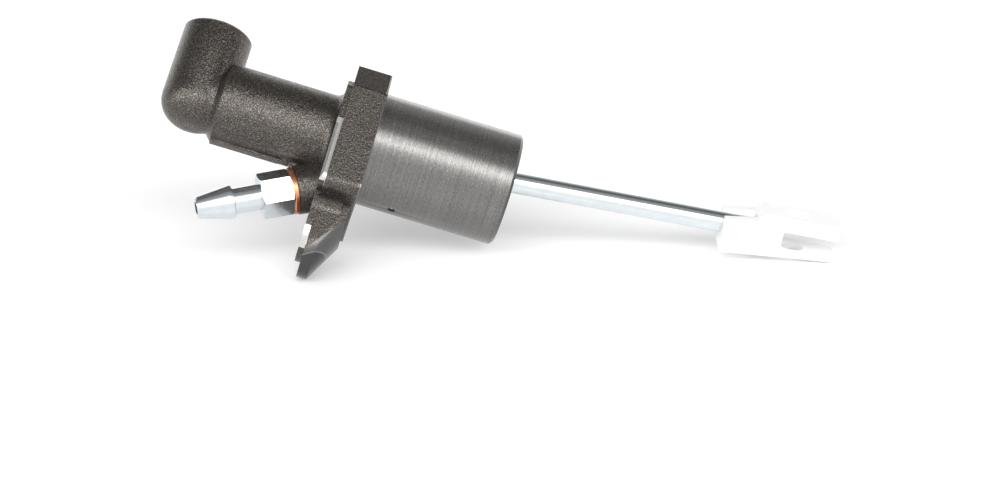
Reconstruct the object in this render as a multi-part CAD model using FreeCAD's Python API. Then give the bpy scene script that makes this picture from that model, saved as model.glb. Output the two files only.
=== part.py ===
import FreeCAD, Part
import math
import os

# Clutch master cylinder, in millimetres. The origin is the centre of the flange's front face on the
# axis of the bore. +X points out of the spigot along the pushrod, and +Z to the elbow's open end.

V = FreeCAD.Vector
ORIGIN = V(0, 0, 0)
X_AXIS = V(1, 0, 0)
Y_AXIS = V(0, 1, 0)
Z_AXIS = V(0, 0, 1)

os.makedirs("parts", exist_ok=True)

# Spigot, turned, in front of the flange
spigot_r = 20.0
spigot_length = 50.0
spigot_chamfer = 1.0
mouth_r = 14.0
mouth_chamfer = 1.0
dimple_x = 12.7
dimple_r = 1.5
dimple_depth = 1.0

# Flange plate, an octagon above and square below, with a machined pad on each face. The cast plate's
# front leans back from the front pad, more towards the bottom
flange_half_width = 24.7
flange_corner = 10.2
flange_bottom_z = -28.2
flange_corner_r = 1.2
flange_low_corner_r = 3.5
plate_thickness = 12.2
front_pad = 3.5
front_pad_inset = 0.25
front_lean_top = 0.15
front_lean_bottom = 2.65
rear_pad = 2.0
rear_pad_inset = 1.2
rear_pad_top_z = 13.0
side_bevel_top_z = -4.4
side_bevel_bottom_z = -26.5
side_bevel = 2.1
bolt_hole_r = 4.2
bolt_edge = 7.5
bolt_chamfer = 0.6

# Foot under the flange with a half-round end that leans back, and a higher step at its rear
foot_half_width = 11.0
foot_front_x = -1.3
foot_tip_front_x = -8.6
foot_step_x = -12.2
foot_front_drop = 10.9
foot_tip_drop = 24.7
foot_step_drop = 19.4
foot_flare_r = 4.0
foot_flare_front_x = -4.0

# Cast tube and elbow behind the flange
tube_r = 14.5
tube_end_x = -54.0
shoulder_length = 2.2
root_fillet = 2.5
parting_width = 3.0
parting_height = 0.75
elbow_r = 12.2
elbow_run_inset = 0.25
elbow_x = -62.5
elbow_top_z = 25.0
elbow_corner_r = 9.8
elbow_top_chamfer = 0.8

# Bore and outlet passage
bore_r = 9.525
bore_end_x = -52.0
bore_mouth_x = 27.0
passage_r = 2.5
port_r = 5.5
port_depth = 13.0
port_chamfer = 0.8

# Inclined inlet boss and the nipple in it
inlet_angle = 29.0
washer_mid_x = -21.7
washer_mid_z = -23.8
boss_r = 8.5
boss_depth = 12.4
inlet_r = 5.0
inlet_depth = 14.4
feed_x = -10.9
feed_r = 1.0
washer_r = 8.2
washer_thickness = 1.6
thread_clearance = 0.05
thread_length = 12.4
hex_flats = 14.0
hex_length = 10.8
hex_turn = 11.4
hex_bevel = 0.9
neck_r = 4.5
neck_length = 9.5
barb_ridge_r = 5.85
barb_tip_r = 3.85
barb_length = 12.7
barb_land = 1.2
nipple_bore_r = 2.2

# Piston, cups and seals
piston_clearance = 0.05
piston_length = 29.3
piston_stop_gap = 0.15
waist_r = 6.9
land_length = 3.0
waist_length = 16.5
seal_groove_r = 7.7
seal_groove_length = 3.6
seal_end_gap = 0.1
lip_clearance = 0.1
nose_r = 3.2
nose_head_r = 3.8
nose_head_length = 0.9
fit_gap = 0.05
shim_r = 8.4
shim_thickness = 0.5
cup_length = 4.6
cup_base = 2.0
cup_heel_r = 9.1
cup_well_r = 7.6
cup_lip_inner_r = 8.6
seat_flange_r = 6.9
seat_thickness = 0.8
seat_hub_length = 4.2
end_seat_r = 9.2

# Return spring
spring_mean_r = 5.2
spring_wire_r = 0.65
spring_turns = 9.5

# Circlip in its groove at the bore's mouth
bore_lip = 1.5
circlip_wire_r = 0.7
circlip_sink = 0.725
circlip_gap_degrees = 40.0
groove_clearance = 0.1

# Pushrod with its ball, the liner round the ball, and the rod's direction as it lies
ball_r = 5.5
ball_depth = 3.6
liner_clearance = 0.12
liner_thickness = 0.9
liner_reach = 2.2
rod_r = 3.75
rod_visible_length = 105.0
rod_pitch = 4.15
rod_yaw = -6.0

# Clevis on the rod's end, in its own frame: x along the rod from the clevis's near end
clevis_turn = 41.0
clevis_length = 41.0
clevis_half_width = 8.5
clevis_neck_top = 3.6
clevis_neck_end_top = 5.2
clevis_head_top = 8.0
clevis_neck_bottom = -8.6
clevis_slope = 5.5
channel_length = 11.5
rod_socket_length = 8.0
rod_socket_clearance = 0.1
snap_start = 1.6
snap_length = 1.8
snap_depth = 0.85
fork_start = 20.8
fork_low = -4.0
fork_high = 3.1
pin_x = 25.5
pin_r = 4.4
clevis_corner_r = 3.0
clevis_edge_r = 0.8

# Worked out from the sizes above
flange_rear_x = -plate_thickness - rear_pad
bolt_y = flange_half_width - bolt_edge
bolt_z = flange_bottom_z + bolt_edge
circlip_x = bore_mouth_x - bore_lip
piston_r = bore_r - piston_clearance
circlip_mid_r = bore_r + circlip_sink - circlip_wire_r
mouth_start_x = bore_mouth_x + mouth_chamfer
piston_rear_x = circlip_x - circlip_wire_r - piston_stop_gap
piston_front_x = piston_rear_x - piston_length
shim_front_x = piston_front_x - shim_thickness
seat_rear_x = shim_front_x - cup_base - fit_gap
seat_front_x = seat_rear_x - seat_thickness
nose_front_x = seat_rear_x - seat_hub_length - fit_gap - nose_head_length
hub_r = spring_mean_r - spring_wire_r - 4 * fit_gap
lip_r = bore_r - lip_clearance
pivot_x = piston_rear_x - ball_depth
liner_inner_r = ball_r + liner_clearance
liner_outer_r = liner_inner_r + liner_thickness
socket_r = liner_outer_r + liner_clearance
end_seat_front_x = bore_end_x + seat_thickness
rod_end = rod_visible_length + channel_length + rod_socket_length
pivot = V(pivot_x, 0, 0)


def cylinder_x(radius, x_start, x_end):
    """Solid round bar on the X axis."""
    return Part.makeCylinder(radius, x_end - x_start, V(x_start, 0, 0), X_AXIS)


def box(x_low, x_high, y_low, y_high, z_low, z_high):
    return Part.makeBox(x_high - x_low, y_high - y_low, z_high - z_low, V(x_low, y_low, z_low))


def turned(profile):
    """Solid turned about X from a closed outline of (x, radius) points."""
    points = [V(x, 0, r) for x, r in profile]
    face = Part.Face(Part.makePolygon(points + [points[0]]))
    return face.revolve(ORIGIN, X_AXIS, 360)


def fused(shapes):
    return shapes[0].multiFuse(shapes[1:]).removeSplitter()


def one_solid(shape):
    """The single solid inside a boolean's result."""
    return shape.Solids[0] if len(shape.Solids) == 1 else shape


def save(shape, name):
    one_solid(shape).exportStep(os.path.join("parts", name + ".step"))


def extruded(points, travel):
    """Prism from a closed outline of points."""
    return Part.Face(Part.makePolygon(points + [points[0]])).extrude(travel)


def along_x(shape):
    """Straight edges that run along X."""
    return [edge for edge in shape.Edges if max(edge.BoundBox.YLength, edge.BoundBox.ZLength) < 0.01]


def flange_outline(inset, x_start, x_end):
    """Plate with the flange's outline, drawn in by inset on every side, with rounded corners."""
    half = flange_half_width - inset
    corner = flange_corner - inset * (math.sqrt(2) - 1)
    bottom = flange_bottom_z + inset
    right = [(half, bottom), (half, corner), (corner, half)]
    left = [(-y, z) for y, z in reversed(right)]
    plate = extruded([V(x_start, y, z) for y, z in right + left], V(x_end - x_start, 0, 0))
    low = [edge for edge in along_x(plate) if edge.BoundBox.ZMax < bottom + 0.01]
    plate = plate.makeFillet(flange_low_corner_r, low)
    high = [edge for edge in along_x(plate) if edge.BoundBox.ZMin > 0]
    return plate.makeFillet(flange_corner_r, high)


def leaning_front():
    """All that lies in front of the cast plate's leaning front."""
    top = flange_half_width
    bottom = flange_bottom_z
    slope = (front_lean_bottom - front_lean_top) / (top - bottom)
    outline = [
        (1, top + 1),
        (-front_lean_top + slope, top + 1),
        (-front_lean_bottom - slope, bottom - 1),
        (1, bottom - 1),
    ]
    points = [V(x, -2 * flange_half_width, z) for x, z in outline]
    return extruded(points, V(0, 4 * flange_half_width, 0))


def side_bevel_cutter(side):
    """Wedge that bevels the plate's rear edge beside a bolt hole."""
    edge_y = flange_half_width
    corners = [
        (flange_rear_x - 1, edge_y - side_bevel - 1),
        (flange_rear_x + side_bevel + 1, edge_y + 1),
        (flange_rear_x - 1, edge_y + 1),
    ]
    points = [V(x, side * y, side_bevel_bottom_z) for x, y in corners]
    return extruded(points, V(0, 0, side_bevel_top_z - side_bevel_bottom_z))


def flange():
    plate = flange_outline(0, -plate_thickness, 0).cut(leaning_front())
    front = flange_outline(front_pad_inset, -front_pad, 0)
    rear = flange_outline(rear_pad_inset, flange_rear_x, -plate_thickness)
    reach = flange_half_width
    rear = rear.cut(box(flange_rear_x - 1, -plate_thickness, -reach, reach, rear_pad_top_z, reach))
    solid = fused([plate, front, rear])
    return solid.cut(side_bevel_cutter(1)).cut(side_bevel_cutter(-1))


def foot_outline(x, drop):
    """Upright outline of the foot across the bore, straight at the sides and half round below."""
    top_z = flange_bottom_z + 6
    round_z = flange_bottom_z - drop + foot_half_width
    width = foot_half_width
    edges = [
        Part.makeLine(V(x, -width, top_z), V(x, -width, round_z)),
        Part.Arc(V(x, -width, round_z), V(x, 0, round_z - width), V(x, width, round_z)).toShape(),
        Part.makeLine(V(x, width, round_z), V(x, width, top_z)),
        Part.makeLine(V(x, width, top_z), V(x, -width, top_z)),
    ]
    return Part.Wire(edges)


def foot():
    """Foot below the flange, with concave flares at both sides under the plate."""
    front_end = foot_outline(foot_front_x, foot_front_drop)
    tip_start = foot_outline(foot_tip_front_x, foot_tip_drop)
    rear_end = foot_outline(flange_rear_x, foot_step_drop)
    lean = Part.makeLoft([front_end, tip_start], True)
    tip = Part.Face(tip_start).extrude(V(foot_step_x - foot_tip_front_x, 0, 0))
    rear = Part.Face(rear_end).extrude(V(foot_step_x - flange_rear_x, 0, 0))
    return fused([lean, tip, rear])


def foot_flare(side):
    """Concave fillet between the foot's side and the underside of the plate."""
    size = foot_flare_r
    low_z = flange_bottom_z - size
    inner = foot_half_width - 0.5
    outer = foot_half_width + size
    block = box(flange_rear_x, foot_flare_front_x, inner, outer, low_z, flange_bottom_z + 1)
    length = foot_flare_front_x - flange_rear_x
    hollow = Part.makeCylinder(size, length + 2, V(flange_rear_x - 1, outer, low_z), X_AXIS)
    flare = block.cut(hollow)
    if side < 0:
        flare = flare.mirror(ORIGIN, Y_AXIS)
    return flare


def root_fillet_ring(x, direction):
    """Concave ring between the tube and the plate."""
    size = root_fillet
    start = V(x + direction * size, 0, tube_r)
    corner = V(x, 0, tube_r)
    end = V(x, 0, tube_r + size)
    slant = math.sqrt(0.5)
    middle = V(x + direction * size * (1 - slant), 0, tube_r + size * (1 - slant))
    inner = V(x + direction * size, 0, tube_r - 1)
    inner_corner = V(x, 0, tube_r - 1)
    edges = [
        Part.makeLine(inner, start),
        Part.Arc(start, middle, end).toShape(),
        Part.makeLine(end, corner),
        Part.makeLine(corner, inner_corner),
        Part.makeLine(inner_corner, inner),
    ]
    return Part.Face(Part.Wire(edges)).revolve(ORIGIN, X_AXIS, 360)


def elbow():
    """Round elbow: a short run on the bore's axis, and an upright boss with a rounded foot."""
    run_r = elbow_r - elbow_run_inset
    run = cylinder_x(run_r, elbow_x, tube_end_x)
    height = elbow_top_z + elbow_r
    upright = Part.makeCylinder(elbow_r, height, V(elbow_x, 0, -elbow_r), Z_AXIS)
    low_edges = [edge for edge in upright.Edges if edge.BoundBox.ZMax < -elbow_r + 0.01]
    upright = upright.makeFillet(elbow_corner_r, low_edges)
    top_edges = [edge for edge in upright.Edges if edge.BoundBox.ZMin > elbow_top_z - 0.01]
    upright = upright.makeChamfer(elbow_top_chamfer, top_edges)
    shoulder_start = V(tube_end_x - shoulder_length, 0, 0)
    shoulder = Part.makeCone(run_r, tube_r, shoulder_length, shoulder_start, X_AXIS)
    return fused([run, upright, shoulder])


def inlet_direction():
    """Unit vector along the inlet, into the casting."""
    angle = math.radians(inlet_angle)
    return V(math.cos(angle), 0, math.sin(angle))


def inlet_point(distance):
    """Point on the inlet's axis, counted inwards from the boss's face."""
    washer_mid = V(washer_mid_x, 0, washer_mid_z)
    return washer_mid + inlet_direction() * (washer_thickness / 2 + distance)


def along_inlet(shape):
    """Takes a shape made about X, with the boss's face at x = 0, to the inlet's axis."""
    turn = FreeCAD.Rotation(Y_AXIS, -inlet_angle)
    shape.Placement = FreeCAD.Placement(inlet_point(0), turn)
    return shape


def casting():
    tube = cylinder_x(tube_r, tube_end_x, 0)
    spigot = cylinder_x(spigot_r, -1, spigot_length)
    end_edges = [edge for edge in spigot.Edges if edge.BoundBox.XMin > spigot_length - 0.01]
    spigot = spigot.makeChamfer(spigot_chamfer, end_edges)
    parting_half = parting_width / 2
    parting = box(tube_end_x, -plate_thickness, -parting_half, parting_half, -tube_r - parting_height, 0)
    boss = along_inlet(cylinder_x(boss_r, 0, boss_depth))
    ring = root_fillet_ring(flange_rear_x, -1)
    flares = [foot_flare(1), foot_flare(-1)]
    return fused([tube, spigot, flange(), foot(), elbow(), parting, boss, ring] + flares)


def bore_cut():
    """Bore, its groove, the mouth in the spigot and the blind end."""
    groove_r = circlip_mid_r + circlip_wire_r + groove_clearance
    groove_half = circlip_wire_r + groove_clearance
    bore = cylinder_x(bore_r, bore_end_x, mouth_start_x)
    groove = cylinder_x(groove_r, circlip_x - groove_half, circlip_x + groove_half)
    lead = Part.makeCone(bore_r, bore_r + mouth_chamfer, mouth_chamfer, V(bore_mouth_x, 0, 0), X_AXIS)
    mouth = cylinder_x(mouth_r, mouth_start_x, spigot_length + 1)
    flare_x = spigot_length - mouth_chamfer
    flare = Part.makeCone(mouth_r, mouth_r + mouth_chamfer, mouth_chamfer, V(flare_x, 0, 0), X_AXIS)
    return fused([bore, groove, lead, mouth, flare])


def outlet_cut():
    """Passage from the bore's blind end to the threaded port in the elbow."""
    run = cylinder_x(passage_r, elbow_x, bore_end_x + 1)
    rise = Part.makeCylinder(passage_r, elbow_top_z, V(elbow_x, 0, 0), Z_AXIS)
    corner = Part.makeSphere(passage_r, V(elbow_x, 0, 0))
    port_low_z = elbow_top_z - port_depth
    port = Part.makeCylinder(port_r, port_depth + 1, V(elbow_x, 0, port_low_z), Z_AXIS)
    seat_height = port_r - passage_r
    seat = Part.makeCone(passage_r, port_r, seat_height, V(elbow_x, 0, port_low_z - seat_height), Z_AXIS)
    lead_z = elbow_top_z - port_chamfer
    lead = Part.makeCone(port_r, port_r + port_chamfer, port_chamfer, V(elbow_x, 0, lead_z), Z_AXIS)
    return fused([run, rise, corner, port, seat, lead])


def inlet_cut():
    """Threaded inlet, the flat round its mouth and the feed hole up to the bore."""
    hole = along_inlet(cylinder_x(inlet_r, -1, inlet_depth))
    facing = along_inlet(cylinder_x(boss_r + 3, -20, 0))
    foot_of_feed = inlet_point(inlet_depth / 2).z
    feed = Part.makeCylinder(feed_r, -foot_of_feed, V(feed_x, 0, foot_of_feed), Z_AXIS)
    return [hole, facing, feed]


def bolt_hole(side):
    start = V(flange_rear_x - 1, side * bolt_y, bolt_z)
    hole = Part.makeCylinder(bolt_hole_r, -start.x + 1, start, X_AXIS)
    lead_start = V(-bolt_chamfer, side * bolt_y, bolt_z)
    lead = Part.makeCone(bolt_hole_r, bolt_hole_r + bolt_chamfer, bolt_chamfer, lead_start, X_AXIS)
    return hole.fuse(lead)


def cylinder_body():
    solid = casting()
    dimple = Part.makeCone(dimple_r, 0, dimple_depth, V(dimple_x, 0, -spigot_r), Z_AXIS)
    cutters = [bore_cut(), outlet_cut(), bolt_hole(1), bolt_hole(-1), dimple] + inlet_cut()
    for cutter in cutters:
        solid = solid.cut(cutter)
    return solid.removeSplitter()


def hexagon(flats, x_start, x_end, turn):
    """Hexagonal bar on the X axis, with a flat facing -Y turned by the given angle."""
    corner_r = flats / math.sqrt(3)
    points = []
    for step in range(7):
        angle = math.radians(30 + turn + 60 * step)
        points.append(V(x_start, -corner_r * math.cos(angle), -corner_r * math.sin(angle)))
    return Part.Face(Part.makePolygon(points)).extrude(V(x_end - x_start, 0, 0))


def hose_nipple():
    hex_near = -washer_thickness
    hex_far = hex_near - hex_length
    corner_r = hex_flats / math.sqrt(3)
    nut = hexagon(hex_flats, hex_far, hex_near, hex_turn)
    flat_r = corner_r - hex_bevel
    bevels = turned([
        (hex_near, 0), (hex_near, flat_r), (hex_near - hex_bevel / 2, corner_r),
        (hex_far + hex_bevel / 2, corner_r), (hex_far, flat_r), (hex_far, 0),
    ])
    nut = nut.common(bevels)
    thread = cylinder_x(inlet_r - thread_clearance, hex_near, thread_length)
    neck_end = hex_far - neck_length
    neck = cylinder_x(neck_r, neck_end - 1, hex_far)
    tip = neck_end - barb_length
    barb = turned([
        (neck_end, 0), (neck_end, barb_ridge_r - 0.3), (neck_end - 0.3, barb_ridge_r),
        (neck_end - barb_land, barb_ridge_r), (tip + 0.4, barb_tip_r), (tip, barb_tip_r - 0.4), (tip, 0),
    ])
    hole = cylinder_x(nipple_bore_r, tip - 1, thread_length + 1)
    return along_inlet(fused([nut, thread, neck, barb]).cut(hole))


def sealing_washer():
    ring = cylinder_x(washer_r, -washer_thickness, 0)
    ring = ring.makeFillet(0.25, [edge for edge in ring.Edges if edge.Closed and edge.Length > washer_r])
    hole = cylinder_x(inlet_r, -washer_thickness - 1, 1)
    return along_inlet(ring.cut(hole))


def piston():
    front_land = piston_front_x + land_length
    waist_end = front_land + waist_length
    groove_end = waist_end + 1 + seal_groove_length
    body = turned([
        (nose_front_x, 0), (nose_front_x, nose_head_r - 0.4), (nose_front_x + 0.4, nose_head_r),
        (nose_front_x + nose_head_length, nose_head_r), (nose_front_x + nose_head_length, nose_r),
        (piston_front_x, nose_r), (piston_front_x, piston_r - 0.4), (piston_front_x + 0.4, piston_r),
        (front_land, piston_r), (front_land + 1, waist_r), (waist_end - 1, waist_r), (waist_end, piston_r),
        (waist_end + 1, piston_r), (waist_end + 1, seal_groove_r), (groove_end, seal_groove_r),
        (groove_end, piston_r), (piston_rear_x - 0.4, piston_r), (piston_rear_x, piston_r - 0.4),
        (piston_rear_x, 0),
    ])
    return body.cut(Part.makeSphere(socket_r, pivot))


def secondary_seal():
    front = piston_front_x + land_length + waist_length + 1 + seal_end_gap
    rear = front + seal_groove_length - 2 * seal_end_gap
    inner_r = seal_groove_r + fit_gap
    return turned([
        (front, inner_r), (front, inner_r + 0.4), (front + 1.2, inner_r + 0.8), (front, lip_r - 0.5),
        (front, lip_r), (rear, lip_r - 0.3), (rear, inner_r),
    ])


def cup_shim():
    hole = cylinder_x(nose_r + fit_gap, shim_front_x, piston_front_x)
    return cylinder_x(shim_r, shim_front_x, piston_front_x).cut(hole)


def primary_cup():
    lip_x = shim_front_x - cup_length
    base_x = shim_front_x - cup_base
    inner_r = nose_r + fit_gap
    return turned([
        (shim_front_x, inner_r), (shim_front_x, cup_heel_r - 0.3), (shim_front_x - 0.3, cup_heel_r),
        (lip_x, lip_r), (lip_x, cup_lip_inner_r), (base_x, cup_well_r), (base_x, inner_r),
    ])


def spring_seat():
    """Pressed seat on the piston's nose: a flange for the spring, and a hub inside its first coil."""
    hub_end = seat_rear_x - seat_hub_length
    inner_r = nose_r + fit_gap
    return turned([
        (seat_rear_x, inner_r), (seat_rear_x, seat_flange_r), (seat_front_x, seat_flange_r),
        (seat_front_x, hub_r), (hub_end, hub_r), (hub_end, inner_r),
    ])


def end_seat():
    """Pressed seat at the bore's blind end."""
    hub_end = end_seat_front_x + seat_hub_length
    return turned([
        (bore_end_x, passage_r), (bore_end_x, end_seat_r), (end_seat_front_x, end_seat_r),
        (end_seat_front_x, hub_r), (hub_end, hub_r), (hub_end, passage_r),
    ])


def return_spring():
    """Coil between the two seats, ground flat at both ends."""
    start_x = end_seat_front_x + fit_gap
    end_x = seat_front_x - fit_gap
    length = end_x - start_x
    pitch = length / spring_turns
    path = Part.makeHelix(pitch, length, spring_mean_r)
    section = Part.Wire(Part.makeCircle(spring_wire_r, V(spring_mean_r, 0, 0), Y_AXIS))
    coil = Part.Wire(path.Edges).makePipeShell([section], True, True)
    coil = coil.common(Part.makeCylinder(2 * spring_mean_r, length))
    coil.Placement = FreeCAD.Placement(V(start_x, 0, 0), FreeCAD.Rotation(Y_AXIS, 90))
    return coil


def circlip():
    """Round wire ring with a gap, sprung into its groove."""
    section = Part.Face(Part.Wire(Part.makeCircle(circlip_wire_r, V(circlip_x, 0, circlip_mid_r), Y_AXIS)))
    ring = section.revolve(ORIGIN, X_AXIS, 360 - circlip_gap_degrees)
    ring.Placement = FreeCAD.Placement(ORIGIN, FreeCAD.Rotation(X_AXIS, circlip_gap_degrees / 2))
    return ring


def on_rod(shape, turn=0.0):
    """Takes a shape made about X, with the ball's centre at the origin, to the rod as it lies."""
    pitch = FreeCAD.Rotation(Y_AXIS, -rod_pitch)
    yaw = FreeCAD.Rotation(Z_AXIS, rod_yaw)
    roll = FreeCAD.Rotation(X_AXIS, turn)
    shape.Placement = FreeCAD.Placement(pivot, pitch.multiply(yaw).multiply(roll))
    return shape


def ball_liner():
    """Plastic cup round the ball, open to the rod."""
    reach = liner_outer_r
    shell = Part.makeSphere(liner_outer_r).cut(Part.makeSphere(liner_inner_r))
    opening = box(liner_reach, 2 * reach, -reach, reach, -reach, reach)
    shell = shell.cut(opening)
    shell.Placement = FreeCAD.Placement(pivot, FreeCAD.Rotation(Y_AXIS, -rod_pitch))
    return shell


def snap_groove_start():
    return rod_visible_length + channel_length + snap_start


def pushrod():
    """Plated rod with its ball, a groove for the clevis's snap ring and a bevelled end."""
    groove_start = snap_groove_start()
    groove_r = rod_r - snap_depth
    groove_end = groove_start + snap_length
    bar = turned([
        (0, 0), (0, rod_r), (groove_start, rod_r), (groove_start, groove_r), (groove_end, groove_r),
        (groove_end, rod_r), (rod_end - 0.6, rod_r), (rod_end, rod_r - 0.6), (rod_end, 0),
    ])
    return on_rod(bar.fuse(Part.makeSphere(ball_r)))


def clevis():
    """White plastic fork, made with x = 0 at its near end and carried along the rod."""
    far = clevis_length
    tilt = math.tan(math.radians(clevis_slope))
    outline = [
        (0, clevis_neck_top), (channel_length, clevis_neck_end_top),
        (channel_length + 1.5, clevis_head_top), (far, clevis_head_top),
        (far, clevis_neck_bottom + far * tilt), (0, clevis_neck_bottom),
    ]
    points = [V(x, -clevis_half_width, z) for x, z in outline]
    block = extruded(points, V(0, 2 * clevis_half_width, 0))
    bounds = [(edge, edge.BoundBox) for edge in block.Edges]
    end_edges = [edge for edge, reach in bounds if reach.XMin > far - 0.01 and reach.ZLength > 1]
    block = block.makeFillet(clevis_corner_r, end_edges)
    bounds = [(edge, edge.BoundBox) for edge in block.Edges]
    long_edges = [edge for edge, reach in bounds if reach.XLength > far / 2 and reach.YLength < 1]
    block = block.makeFillet(clevis_edge_r, long_edges)
    socket_r_rod = rod_r + rod_socket_clearance
    socket_end = channel_length + rod_socket_length + rod_socket_clearance
    socket = cylinder_x(socket_r_rod, -1, socket_end)
    channel = box(-1, channel_length, -socket_r_rod, socket_r_rod, 0, clevis_head_top + 1)
    fork = box(fork_start, far + 1, -2 * clevis_half_width, 2 * clevis_half_width, fork_low, fork_high)
    pin = Part.makeCylinder(pin_r, 40, V(pin_x, 0, -20), Z_AXIS)
    solid = block.cut(socket).cut(channel).cut(fork).cut(pin)
    ring_start = channel_length + snap_start + rod_socket_clearance
    ring_end = channel_length + snap_start + snap_length - rod_socket_clearance
    ring_hole_r = rod_r - snap_depth + rod_socket_clearance
    ring = cylinder_x(socket_r_rod + 0.5, ring_start, ring_end)
    ring = ring.cut(cylinder_x(ring_hole_r, ring_start, ring_end))
    solid = fused([solid, ring])
    solid.translate(V(rod_visible_length, 0, 0))
    carried = Part.makeCompound([solid])
    return on_rod(carried, clevis_turn)


save(cylinder_body(), "cylinder_body")
save(hose_nipple(), "hose_nipple")
save(sealing_washer(), "sealing_washer")
save(piston(), "piston")
save(cup_shim(), "cup_shim")
save(primary_cup(), "primary_cup")
save(spring_seat(), "spring_seat")
save(return_spring(), "return_spring")
save(end_seat(), "end_seat")
save(secondary_seal(), "secondary_seal")
save(circlip(), "circlip")
save(ball_liner(), "ball_liner")
save(pushrod(), "pushrod")
save(clevis(), "clevis")
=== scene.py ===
import math

import bpy
from mathutils import Matrix, Vector


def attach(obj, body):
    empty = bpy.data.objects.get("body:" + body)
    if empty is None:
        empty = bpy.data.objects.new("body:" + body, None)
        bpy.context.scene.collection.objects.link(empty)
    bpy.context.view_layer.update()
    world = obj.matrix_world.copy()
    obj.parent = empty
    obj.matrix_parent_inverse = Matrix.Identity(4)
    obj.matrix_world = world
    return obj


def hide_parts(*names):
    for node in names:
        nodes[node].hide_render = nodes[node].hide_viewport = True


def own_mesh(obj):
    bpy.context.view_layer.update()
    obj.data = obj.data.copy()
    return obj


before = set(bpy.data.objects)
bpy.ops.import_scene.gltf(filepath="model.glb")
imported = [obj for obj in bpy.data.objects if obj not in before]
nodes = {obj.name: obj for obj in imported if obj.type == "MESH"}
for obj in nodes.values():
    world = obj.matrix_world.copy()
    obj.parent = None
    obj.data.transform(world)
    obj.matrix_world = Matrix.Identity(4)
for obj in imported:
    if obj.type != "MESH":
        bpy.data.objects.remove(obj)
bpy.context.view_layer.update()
bpy.context.scene.view_settings.view_transform = "Standard"

# Camera: how the bore's axis lies in the photograph, in degrees, and where the row's origin falls in it
IMAGE_WIDTH = 1000
IMAGE_HEIGHT = 489
ORIGIN_PIXEL = (370.9, 148.9)
AXIS_SLOPE = 16.8
AXIS_RECESS = 5.0
ROLL_AWAY = 23.0
CAMERA_RISE = 20.0

# Its distance and clipping in metres, its focal length in the photograph's pixels and its sensor in mm
DISTANCE = 0.735
CLIP_START = 0.01
CLIP_END = 20
FOCAL_PIXELS = 2100.0
SENSOR_WIDTH = 36.0


def camera_frame():
    """The camera's right, up and forward directions in the row's frame, as rows of a matrix."""
    slope, recess, roll = (math.radians(a) for a in (AXIS_SLOPE, AXIS_RECESS, ROLL_AWAY))
    flat = math.cos(recess)
    deep = math.sin(recess)
    x_seen = Vector((math.cos(slope) * flat, -math.sin(slope) * flat, deep))
    across = Vector((math.sin(slope), math.cos(slope), 0))
    depth = Vector((-math.cos(slope) * deep, math.sin(slope) * deep, flat))
    z_seen = math.cos(roll) * across + math.sin(roll) * depth
    y_seen = math.cos(roll) * depth - math.sin(roll) * across
    return Matrix((x_seen, y_seen, z_seen)).transposed()


RIGHT, UP, FORWARD = (row.copy() for row in camera_frame())
RISE = math.radians(CAMERA_RISE)
FLOOR_NORMAL = (UP * math.cos(RISE) - FORWARD * math.sin(RISE)).normalized()


def add_camera():
    data = bpy.data.cameras.new("camera")
    data.sensor_width = SENSOR_WIDTH
    data.lens = SENSOR_WIDTH * FOCAL_PIXELS / IMAGE_WIDTH
    data.clip_start = CLIP_START
    data.clip_end = CLIP_END
    camera = bpy.data.objects.new("camera", data)
    bpy.context.scene.collection.objects.link(camera)
    off_right = (ORIGIN_PIXEL[0] - IMAGE_WIDTH / 2) / FOCAL_PIXELS * DISTANCE
    off_up = (IMAGE_HEIGHT / 2 - ORIGIN_PIXEL[1]) / FOCAL_PIXELS * DISTANCE
    place = -(RIGHT * off_right + UP * off_up + FORWARD * DISTANCE)
    turn = Matrix((RIGHT, UP, -FORWARD)).transposed().to_4x4()
    camera.matrix_world = Matrix.Translation(place) @ turn
    bpy.context.scene.camera = camera


add_camera()


def node_material(name):
    """A new material, with its node tree and the Principled shader in it."""
    material = bpy.data.materials.new(name)
    material.use_nodes = True
    tree = material.node_tree
    shader = tree.nodes["Principled BSDF"]
    return material, tree, shader


def add(tree, kind, **values):
    """Adds a node, with its properties and its inputs set by name."""
    node = tree.nodes.new(kind)
    for key, value in values.items():
        if hasattr(node, key):
            setattr(node, key, value)
        else:
            node.inputs[key].default_value = value
    return node


def put(tree, socket, value):
    """Gives an input a plain value, or links it to another node's output."""
    if isinstance(value, bpy.types.NodeSocket):
        tree.links.new(value, socket)
    else:
        socket.default_value = value


def math_node(tree, operation, a, b=None):
    node = add(tree, "ShaderNodeMath", operation=operation)
    put(tree, node.inputs[0], a)
    if b is not None:
        put(tree, node.inputs[1], b)
    return node.outputs[0]


def both(tree, a, b):
    return math_node(tree, "MULTIPLY", a, b)


def either(tree, a, b):
    return math_node(tree, "MAXIMUM", a, b)


# Sockets of the mix node, by number because its inputs share their names
MIX_FACTOR = 0
MIX_VALUES = (2, 3)
MIX_VALUE_OUT = 0
MIX_COLOURS = (6, 7)
MIX_COLOUR_OUT = 2


def mix_colour(tree, factor, a, b):
    """Colour a where the factor is 0, and b where it is 1."""
    node = add(tree, "ShaderNodeMix", data_type="RGBA")
    put(tree, node.inputs[MIX_FACTOR], factor)
    for index, colour in zip(MIX_COLOURS, (a, b)):
        opaque = (*colour, 1) if isinstance(colour, tuple) else colour
        put(tree, node.inputs[index], opaque)
    return node.outputs[MIX_COLOUR_OUT]


def mix_value(tree, factor, a, b):
    """Value a where the factor is 0, and b where it is 1."""
    node = add(tree, "ShaderNodeMix")
    put(tree, node.inputs[MIX_FACTOR], factor)
    for index, value in zip(MIX_VALUES, (a, b)):
        put(tree, node.inputs[index], value)
    return node.outputs[MIX_VALUE_OUT]


def mix_shader(tree, factor, a, b):
    """Shader a where the factor is 0, and b where it is 1."""
    node = add(tree, "ShaderNodeMixShader")
    for socket, value in zip(node.inputs, (factor, a, b)):
        put(tree, socket, value)
    return node.outputs[0]


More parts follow.
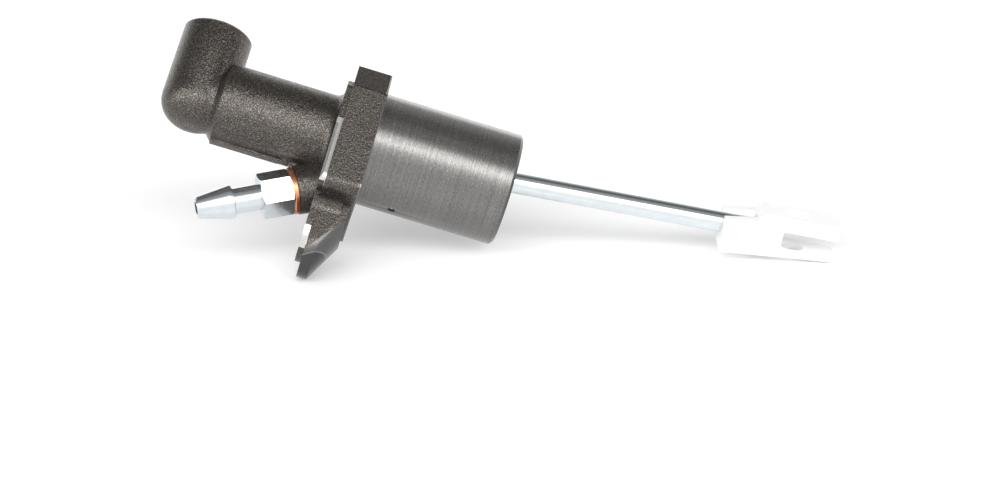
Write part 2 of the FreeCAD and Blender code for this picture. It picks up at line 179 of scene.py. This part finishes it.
def ramp(tree, source, stops):
    """Colour ramp from (place, colour) stops."""
    node = add(tree, "ShaderNodeValToRGB")
    elements = node.color_ramp.elements
    while len(elements) < len(stops):
        elements.new(0.5)
    for element, (place, colour) in zip(elements, stops):
        element.position = place
        element.color = (*colour, 1)
    tree.links.new(source, node.inputs[0])
    return node.outputs[0]


def grey(value):
    return (value, value, value)


def shades(colour, places, factors):
    """Ramp stops of one colour, made darker or lighter by a factor at each place."""
    return [(place, tuple(c * factor for c in colour)) for place, factor in zip(places, factors)]


def object_point(tree):
    return add(tree, "ShaderNodeTexCoord").outputs["Object"]


def noise(tree, vector, scale, detail, roughness):
    node = add(tree, "ShaderNodeTexNoise", Scale=scale, Detail=detail, Roughness=roughness)
    tree.links.new(vector, node.inputs["Vector"])
    return node.outputs["Fac"]


def stretched_noise(tree, scale, detail, roughness):
    """Noise with its own scale along x, y and z, for brushed and turned marks."""
    mapping = add(tree, "ShaderNodeMapping", Scale=scale)
    tree.links.new(object_point(tree), mapping.inputs["Vector"])
    return noise(tree, mapping.outputs[0], 1.0, detail, roughness)


def bump(tree, height, distance, under=None):
    """Relief of a depth in metres, laid over another relief if there is one."""
    node = add(tree, "ShaderNodeBump", Strength=1.0, Distance=distance)
    tree.links.new(height, node.inputs["Height"])
    if under is not None:
        tree.links.new(under, node.inputs["Normal"])
    return node.outputs[0]


# Places on the casting, in metres, where one finish ends and another starts

# The lathe faced all that lies in front of this: the flange's pad and the spigot
PAD_FRONT = -0.0005

# Chamfer round the spigot's mouth, darkened by painted shade
CHAMFER_START = 0.0491
CHAMFER_END = 0.04995

# Dimple drilled under the spigot, darkened by painted shade, with a painted highlight in its middle
DIMPLE_X = 0.0127
DIMPLE_R = 0.0015
DIMPLE_HIGHLIGHT_R = DIMPLE_R / 3

# The flange's slanting upper corners: the least sum of side and height, and their rear end
CORNER_REACH = 0.0347
CORNER_REAR = -0.0125

# The foot's round end is milled behind its front and below a slanting line, given by a point and a slope
FOOT_FRONT = -0.001
FOOT_LINE_X = -0.0017
FOOT_LINE_Z = -0.0330
FOOT_LINE_SLOPE = 1.36

# Ridge between the two milled facets, drawn as a painted highlight, by a point, a slope and half its width
RIDGE_X = -0.0095
RIDGE_Z = -0.0473
RIDGE_SLOPE = 0.528
RIDGE_HALF = 0.0002

# Strips milled on the plate's rear edges, beside the bolt holes and down the foot, made bright by a
# painted reflection
PLATE_REAR = -0.0121
STRIP_SIDE = 0.0222
STRIP_TOP = -0.0028
FOOT_STRIP_TOP = -0.0385
FOOT_STRIP_LOW = -0.0455
FOOT_STRIP_SIDE = 0.0065


def turned_places(tree, x):
    """1 on the spigot and the flange's front pad, that the lathe has faced."""
    return math_node(tree, "GREATER_THAN", x, PAD_FRONT)


def milled_places(tree, x, z):
    """1 on the foot's round end."""
    rise = math_node(tree, "MULTIPLY", math_node(tree, "SUBTRACT", x, FOOT_LINE_X), FOOT_LINE_SLOPE)
    line = math_node(tree, "ADD", rise, FOOT_LINE_Z)
    return both(tree, math_node(tree, "LESS_THAN", z, line), math_node(tree, "LESS_THAN", x, FOOT_FRONT))


def shaded_corner_places(tree, x, y, z):
    """1 on the flange's slanting upper corners, rough with the foundry's scale and darkened by painted
    shade.
    """
    reach = math_node(tree, "ADD", math_node(tree, "ABSOLUTE", y), z)
    slanting = math_node(tree, "GREATER_THAN", reach, CORNER_REACH)
    return both(tree, slanting, math_node(tree, "GREATER_THAN", x, CORNER_REAR))


def chamfer_places(tree, x):
    """1 on the chamfer round the spigot's mouth, darkened by painted shade."""
    beyond = math_node(tree, "GREATER_THAN", x, CHAMFER_START)
    return both(tree, beyond, math_node(tree, "LESS_THAN", x, CHAMFER_END))


def from_ridge(tree, x, z, side, offset):
    """1 on one side of the line that lies an offset above the ridge between the foot's facets."""
    rise = math_node(tree, "MULTIPLY", math_node(tree, "SUBTRACT", x, RIDGE_X), RIDGE_SLOPE)
    height = math_node(tree, "SUBTRACT", z, rise)
    return math_node(tree, side, height, RIDGE_Z + offset)


def strip_places(tree, x, y, z):
    """1 on the milled strips beside the bolt holes and down the back edges of the foot, made bright by a
    painted reflection.
    """
    aside = math_node(tree, "ABSOLUTE", y)
    behind = math_node(tree, "LESS_THAN", x, PLATE_REAR)
    out_at_hole = math_node(tree, "GREATER_THAN", aside, STRIP_SIDE)
    beside = both(tree, out_at_hole, math_node(tree, "LESS_THAN", z, STRIP_TOP))
    under_top = math_node(tree, "LESS_THAN", z, FOOT_STRIP_TOP)
    down = both(tree, under_top, math_node(tree, "GREATER_THAN", z, FOOT_STRIP_LOW))
    outer = both(tree, down, math_node(tree, "GREATER_THAN", aside, FOOT_STRIP_SIDE))
    return both(tree, behind, either(tree, beside, outer))


def dimple_places(tree, x, y, z, radius):
    """1 within a radius of the drilled dimple under the spigot."""
    along_axis = math_node(tree, "SUBTRACT", x, DIMPLE_X)
    apart = math_node(tree, "ADD", both(tree, along_axis, along_axis), both(tree, y, y))
    inside = math_node(tree, "LESS_THAN", apart, radius ** 2)
    return both(tree, inside, math_node(tree, "LESS_THAN", z, 0.0))


# Cast iron: how fine its patterns are, a metre, and along x, y and z where they are stretched
GRAIN_SCALE = 3000
SAND_SCALE = 1400
STAIN_SCALE = 120
RINGS_SCALE = (4200, 25, 25)
SCUFFS_SCALE = (9000, 260, 260)
MATT_SCALE = (2400, 1100, 1100)

# Its colours, with the share that stains, and the painted shade on the flange's slanting upper corners
# with its share
GRAIN_COLOURS = [
    (0.40, (0.026, 0.022, 0.019)), (0.53, (0.080, 0.072, 0.064)), (0.64, (0.24, 0.227, 0.208)),
]
STAIN_COLOUR = (0.085, 0.07, 0.06)
STAIN_COVER = 0.35
# Painted shade, laid on the flange's slanting upper corners
CORNER_SHADE_COLOUR = (0.012, 0.010, 0.009)
CORNER_SHADE_COVER = 0.25
TURNED_COLOURS = [(0.38, (0.123, 0.12, 0.116)), (0.62, (0.232, 0.226, 0.217))]
MATT_SHARE = 0.6
# Painted shade: a dark line on the chamfer round the spigot's mouth
CHAMFER_SHADE = grey(0.09)
UPPER_FACET = grey(0.11)
# Painted shade: the lower facet of the foot's milled end
SHADED_LOWER_FACET = grey(0.065)
# Painted highlight along the ridge between the facets
RIDGE_HIGHLIGHT = grey(0.20)
# Milled strips, made brighter than bare metal by a painted reflection
STRIP_REFLECTION_COLOUR = (0.60, 0.59, 0.57)
# Painted shade in the dimple, and a painted highlight in its middle
DIMPLE_SHADE = grey(0.03)
DIMPLE_HIGHLIGHT = grey(0.9)

# Its roughness, from the lowest to the highest, and how metallic it is
CAST_ROUGH = (0.10, 0.36)
TURNED_ROUGH = (0.08, 0.58)
SCALE_ROUGH = 0.9
CAST_METALLIC = 0.8

# Depth of its relief in metres, and how many times higher the foundry's scale stands
CAST_DEPTH = 0.00013
TURNED_DEPTH = 0.000012
SCALE_RELIEF = 4.0


def cast_skin_colour(tree, point, grain, scale):
    """Dark and light grains with brown stains, and darker with painted shade on the flange's slanting
    upper corners.
    """
    stain = noise(tree, point, STAIN_SCALE, detail=3.0, roughness=0.5)
    grains = ramp(tree, grain, GRAIN_COLOURS)
    stained = mix_colour(tree, both(tree, stain, STAIN_COVER), grains, STAIN_COLOUR)
    corner_shaded = mix_colour(tree, CORNER_SHADE_COVER, stained, CORNER_SHADE_COLOUR)
    return mix_colour(tree, scale, stained, corner_shaded)


def milled_colour(tree, x, z):
    """Two facets at the foot's end, the lower darkened by painted shade, with a painted highlight along
    the ridge between them.
    """
    lower = from_ridge(tree, x, z, "LESS_THAN", 0.0)
    facets = mix_colour(tree, lower, UPPER_FACET, SHADED_LOWER_FACET)
    under_top = from_ridge(tree, x, z, "LESS_THAN", RIDGE_HALF)
    ridge = both(tree, under_top, from_ridge(tree, x, z, "GREATER_THAN", -RIDGE_HALF))
    return mix_colour(tree, ridge, facets, RIDGE_HIGHLIGHT)


def casting_material():
    """Sand cast iron, with the turned and milled faces told apart by their place, and painted shade and
    painted highlights laid on some places.
    """
    material, tree, shader = node_material("cast_iron")
    point = object_point(tree)
    split = add(tree, "ShaderNodeSeparateXYZ")
    tree.links.new(point, split.inputs[0])
    x, y, z = split.outputs
    turned = turned_places(tree, x)
    milled = milled_places(tree, x, z)
    strip = strip_places(tree, x, y, z)
    # Flange's slanting upper corners: painted shade in the colour, and rougher with more relief
    scale = shaded_corner_places(tree, x, y, z)
    machined = either(tree, turned, either(tree, milled, strip))
    cast = math_node(tree, "SUBTRACT", 1.0, machined)

    grain = noise(tree, point, GRAIN_SCALE, detail=2.0, roughness=0.6)
    sand = noise(tree, point, SAND_SCALE, detail=2.0, roughness=0.5)
    rings = stretched_noise(tree, RINGS_SCALE, detail=2.0, roughness=0.6)
    scuffs = stretched_noise(tree, SCUFFS_SCALE, detail=2.0, roughness=0.7)
    matt = stretched_noise(tree, MATT_SCALE, detail=3.0, roughness=0.8)
    turned_marks = mix_value(tree, MATT_SHARE, rings, matt)

    colour = cast_skin_colour(tree, point, grain, scale)
    # Finishes by place: the chamfer, the foot's lower facet and the dimple carry painted shade; the ridge
    # and the dimple's middle carry painted highlights, and the strips a painted reflection
    for place, finish in (
        (turned, ramp(tree, turned_marks, TURNED_COLOURS)),
        (chamfer_places(tree, x), CHAMFER_SHADE),
        (milled, milled_colour(tree, x, z)),
        (strip, STRIP_REFLECTION_COLOUR),
        (dimple_places(tree, x, y, z, DIMPLE_R), DIMPLE_SHADE),
        (dimple_places(tree, x, y, z, DIMPLE_HIGHLIGHT_R), DIMPLE_HIGHLIGHT),
    ):
        colour = mix_colour(tree, place, colour, finish)
    tree.links.new(colour, shader.inputs["Base Color"])

    cast_rough = mix_value(tree, scale, mix_value(tree, sand, *CAST_ROUGH), SCALE_ROUGH)
    turned_rough = mix_value(tree, both(tree, scuffs, matt), *TURNED_ROUGH)
    tree.links.new(mix_value(tree, machined, cast_rough, turned_rough), shader.inputs["Roughness"])
    shader.inputs["Metallic"].default_value = CAST_METALLIC

    relief = math_node(tree, "ADD", grain, sand)
    relief = both(tree, relief, mix_value(tree, scale, 1.0, SCALE_RELIEF))
    rough_skin = bump(tree, both(tree, relief, cast), CAST_DEPTH)
    skin = bump(tree, both(tree, turned_marks, machined), TURNED_DEPTH, under=rough_skin)
    tree.links.new(skin, shader.inputs["Normal"])
    return material


# Bare and plated metal: how its clouds shade its colour, how its marks vary its roughness, their depth
CLOUD_SCALE = 300
CLOUD_PLACES = (0.35, 0.65)
CLOUD_SHADES = (0.97, 1.02)
MARK_ROUGH = (0.8, 1.2)
MARK_DEPTH = 0.000006

# Plastic and rubber, in the same way
FLECK_PLACES = (0.3, 0.7)
FLECK_SHADES = (0.96, 1.0)
FLECK_ROUGH = (0.9, 1.15)
FLECK_DEPTH = 0.00001


def metal_material(name, colour, rough, marks_scale):
    """Bare or plated metal with faint drawn marks."""
    material, tree, shader = node_material(name)
    marks = stretched_noise(tree, marks_scale, detail=3.0, roughness=0.6)
    cloud = noise(tree, object_point(tree), CLOUD_SCALE, detail=2.0, roughness=0.5)
    cloudy = ramp(tree, cloud, shades(colour, CLOUD_PLACES, CLOUD_SHADES))
    tree.links.new(cloudy, shader.inputs["Base Color"])
    rough_marks = mix_value(tree, marks, *(rough * factor for factor in MARK_ROUGH))
    tree.links.new(rough_marks, shader.inputs["Roughness"])
    shader.inputs["Metallic"].default_value = 1.0
    tree.links.new(bump(tree, marks, MARK_DEPTH), shader.inputs["Normal"])
    return material


def plastic_material(name, colour, rough, fleck_scale):
    """Moulded plastic or rubber with a faint grain."""
    material, tree, shader = node_material(name)
    flecks = noise(tree, object_point(tree), fleck_scale, detail=2.0, roughness=0.5)
    flecked = ramp(tree, flecks, shades(colour, FLECK_PLACES, FLECK_SHADES))
    tree.links.new(flecked, shader.inputs["Base Color"])
    rough_flecks = mix_value(tree, flecks, *(rough * factor for factor in FLECK_ROUGH))
    tree.links.new(rough_flecks, shader.inputs["Roughness"])
    tree.links.new(bump(tree, flecks, FLECK_DEPTH), shader.inputs["Normal"])
    return material


# Material of each node: its name, its colour, its roughness, and how fine its marks or flecks are, a metre
MATERIALS = {
    "cylinder_body": casting_material(),
    "hose_nipple": metal_material("zinc_nipple", (0.66, 0.70, 0.72), 0.18, (1200, 1200, 1200)),
    "pushrod": metal_material("zinc_rod", (0.70, 0.75, 0.765), 0.12, (60, 2600, 2600)),
    "sealing_washer": metal_material("copper", (0.72, 0.30, 0.15), 0.3, (1500, 1500, 1500)),
    "circlip": metal_material("spring_wire", (0.40, 0.40, 0.41), 0.35, (900, 900, 900)),
    "return_spring": metal_material("spring_coil", (0.42, 0.42, 0.43), 0.35, (900, 900, 900)),
    "cup_shim": metal_material("shim_steel", grey(0.5), 0.35, (900, 900, 900)),
    "spring_seat": metal_material("seat_steel", (0.62, 0.60, 0.5), 0.3, (900, 900, 900)),
    "end_seat": metal_material("end_seat_steel", (0.62, 0.60, 0.5), 0.3, (900, 900, 900)),
    "piston": metal_material("piston_alloy", (0.66, 0.66, 0.67), 0.3, (4000, 90, 90)),
    "primary_cup": plastic_material("cup_rubber", grey(0.02), 0.5, 900),
    "secondary_seal": plastic_material("seal_rubber", grey(0.02), 0.5, 900),
    "ball_liner": plastic_material("liner_plastic", (0.85, 0.84, 0.8), 0.4, 700),
    "clevis": plastic_material("clevis_plastic", (0.905, 0.91, 0.91), 0.4, 500),
}

for name, material in MATERIALS.items():
    node = nodes[name]
    node.data.materials.clear()
    node.data.materials.append(material)


# Return spring, made again here and fixed to the cylinder: it stands on its fixed seat.
# Its sizes are in metres
SPRING_START = -0.05115
SPRING_END = -0.00805
SPRING_MEAN_R = 0.0052
SPRING_WIRE_R = 0.00065
SPRING_TURNS = 9.5
SPRING_STEPS = 36
SPRING_SIDES = 12


def spring_ring(turn):
    """One ring of points round the wire, after a number of turns from the fixed end."""
    angle = 2 * math.pi * turn
    middle_x = SPRING_START + (SPRING_END - SPRING_START) * turn / SPRING_TURNS
    ring = []
    for side in range(SPRING_SIDES):
        around = 2 * math.pi * side / SPRING_SIDES
        r = SPRING_MEAN_R + SPRING_WIRE_R * math.cos(around)
        x = middle_x + SPRING_WIRE_R * math.sin(around)
        x = min(max(x, SPRING_START), SPRING_END)
        ring.append((x, r * math.sin(angle), -r * math.cos(angle)))
    return ring


def add_spring():
    """Coil between the two seats, ground flat at both ends."""
    steps = int(SPRING_TURNS * SPRING_STEPS)
    points = [point for step in range(steps + 1) for point in spring_ring(step / SPRING_STEPS)]
    faces = []
    for step in range(steps):
        for side in range(SPRING_SIDES):
            a = step * SPRING_SIDES + side
            b = step * SPRING_SIDES + (side + 1) % SPRING_SIDES
            faces.append((a, a + SPRING_SIDES, b + SPRING_SIDES, b))
    faces.append(tuple(range(SPRING_SIDES)))
    faces.append(tuple(reversed(range(steps * SPRING_SIDES, (steps + 1) * SPRING_SIDES))))
    mesh = bpy.data.meshes.new("return_coil")
    mesh.from_pydata(points, [], faces)
    mesh.polygons.foreach_set("use_smooth", [True] * len(faces))
    mesh.materials.append(MATERIALS["return_spring"])
    coil = bpy.data.objects.new("return_coil", mesh)
    bpy.context.scene.collection.objects.link(coil)
    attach(coil, "cylinder")
    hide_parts("return_spring")
    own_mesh(coil)


add_spring()


def lowest_along(direction):
    """Lowest reach of the object along a direction, over every node at rest."""
    return min(direction.dot(v.co) for node in nodes.values() for v in node.data.vertices)


# Floor: half its width and the gap under the object in metres, its colour, and its gloss and glow
FLOOR_HALF = 3.0
FLOOR_GAP = 0.0001
FLOOR_COLOUR = (0.9, 0.9, 0.91, 1)
FLOOR_GLOSS = 0.04
FLOOR_GLOSS_ROUGH = 0.12
FLOOR_GLOW = 0.19


def seen_directly(tree):
    """1 for the camera, and for what shows in metal and glass."""
    path = add(tree, "ShaderNodeLightPath").outputs
    mirrored = either(tree, path["Is Glossy Ray"], path["Is Transmission Ray"])
    return either(tree, path["Is Camera Ray"], mirrored)


def floor_material():
    """White floor that keeps the shadow, with a faint gloss, and not there when seen from below."""
    material, tree, shader = node_material("floor")
    tree.nodes.remove(shader)
    diffuse = add(tree, "ShaderNodeBsdfDiffuse", Color=FLOOR_COLOUR)
    gloss = add(tree, "ShaderNodeBsdfGlossy", Color=(1, 1, 1, 1), Roughness=FLOOR_GLOSS_ROUGH)
    surface = mix_shader(tree, FLOOR_GLOSS, diffuse.outputs[0], gloss.outputs[0])
    glow = add(tree, "ShaderNodeEmission")
    tree.links.new(both(tree, seen_directly(tree), FLOOR_GLOW), glow.inputs["Strength"])
    lit = add(tree, "ShaderNodeAddShader")
    tree.links.new(surface, lit.inputs[0])
    tree.links.new(glow.outputs[0], lit.inputs[1])
    clear = add(tree, "ShaderNodeBsdfTransparent")
    behind = add(tree, "ShaderNodeNewGeometry").outputs["Backfacing"]
    sides = mix_shader(tree, behind, lit.outputs[0], clear.outputs[0])
    tree.links.new(sides, tree.nodes["Material Output"].inputs["Surface"])
    return material


def add_floor():
    mesh = bpy.data.meshes.new("floor")
    across = FLOOR_NORMAL.orthogonal().normalized()
    along = FLOOR_NORMAL.cross(across)
    base = FLOOR_NORMAL * (lowest_along(FLOOR_NORMAL) - FLOOR_GAP)
    corners = []
    for a, b in ((-1, -1), (1, -1), (1, 1), (-1, 1)):
        corners.append(base + across * (a * FLOOR_HALF) + along * (b * FLOOR_HALF))
    mesh.from_pydata(corners, [], [(0, 1, 2, 3)])
    if mesh.polygons[0].normal.dot(FLOOR_NORMAL) < 0:
        mesh.flip_normals()
    mesh.materials.append(floor_material())
    floor = bpy.data.objects.new("floor", mesh)
    bpy.context.scene.collection.objects.link(floor)


add_floor()


# The studio, as light by its angle over the object: 0 at the horizon on the camera's side, 90 overhead
# and 180 at the horizon behind. One long soft box stands above the camera under a dark ceiling
STUDIO = [
    (0, 1.2), (8, 1.25), (19, 1.9), (28, 3.5), (34, 4.8), (40, 5.2), (46, 4.1), (52, 2.1), (58, 0.68),
    (68, 0.36), (80, 0.37), (90, 0.3), (97, 0.12), (120, 0.18), (133, 0.45), (147, 0.65), (156, 0.75),
    (163, 1.5), (170, 1.8), (180, 1.6),
]
STUDIO_END = STUDIO[-1][0]
STUDIO_PEAK = max(level for angle, level in STUDIO)
FRONT_SIDE = (-UP * math.sin(RISE) - FORWARD * math.cos(RISE)).normalized()


def along(tree, direction, axis):
    """How far a direction goes along an axis."""
    node = add(tree, "ShaderNodeVectorMath", operation="DOT_PRODUCT")
    put(tree, node.inputs[0], direction)
    put(tree, node.inputs[1], axis)
    return node.outputs["Value"]


def add_world():
    """White to the camera, and the studio to everything else."""
    world = bpy.data.worlds.new("studio")
    bpy.context.scene.world = world
    world.use_nodes = True
    tree = world.node_tree
    back = tree.nodes["Background"]
    direction = add(tree, "ShaderNodeTexCoord").outputs["Generated"]
    height = along(tree, direction, FLOOR_NORMAL)
    front = along(tree, direction, FRONT_SIDE)
    turn = math_node(tree, "DIVIDE", math_node(tree, "ARCTAN2", height, front), math.pi)
    stops = [(angle / STUDIO_END, grey(level / STUDIO_PEAK)) for angle, level in STUDIO]
    studio = ramp(tree, turn, stops)
    seen = add(tree, "ShaderNodeLightPath").outputs["Is Camera Ray"]
    tree.links.new(mix_colour(tree, seen, studio, grey(1)), back.inputs["Color"])
    tree.links.new(mix_value(tree, seen, STUDIO_PEAK, 1.0), back.inputs["Strength"])


add_world()

# Rounded edges: their width and the reach of the weld before them, in metres, and where they start
ROUNDED_NODES = ("cylinder_body", "clevis")
ROUND_WIDTH = 0.0004
ROUND_SEGMENTS = 2
WELD_REACH = 0.000001
SHARP_FROM = math.radians(35)


def round_edges(node):
    weld = node.modifiers.new("weld", "WELD")
    weld.merge_threshold = WELD_REACH
    bevel = node.modifiers.new("rounds", "BEVEL")
    bevel.width = ROUND_WIDTH
    bevel.segments = ROUND_SEGMENTS
    bevel.limit_method = "ANGLE"
    bevel.angle_limit = SHARP_FROM


for name in ROUNDED_NODES:
    round_edges(nodes[name])
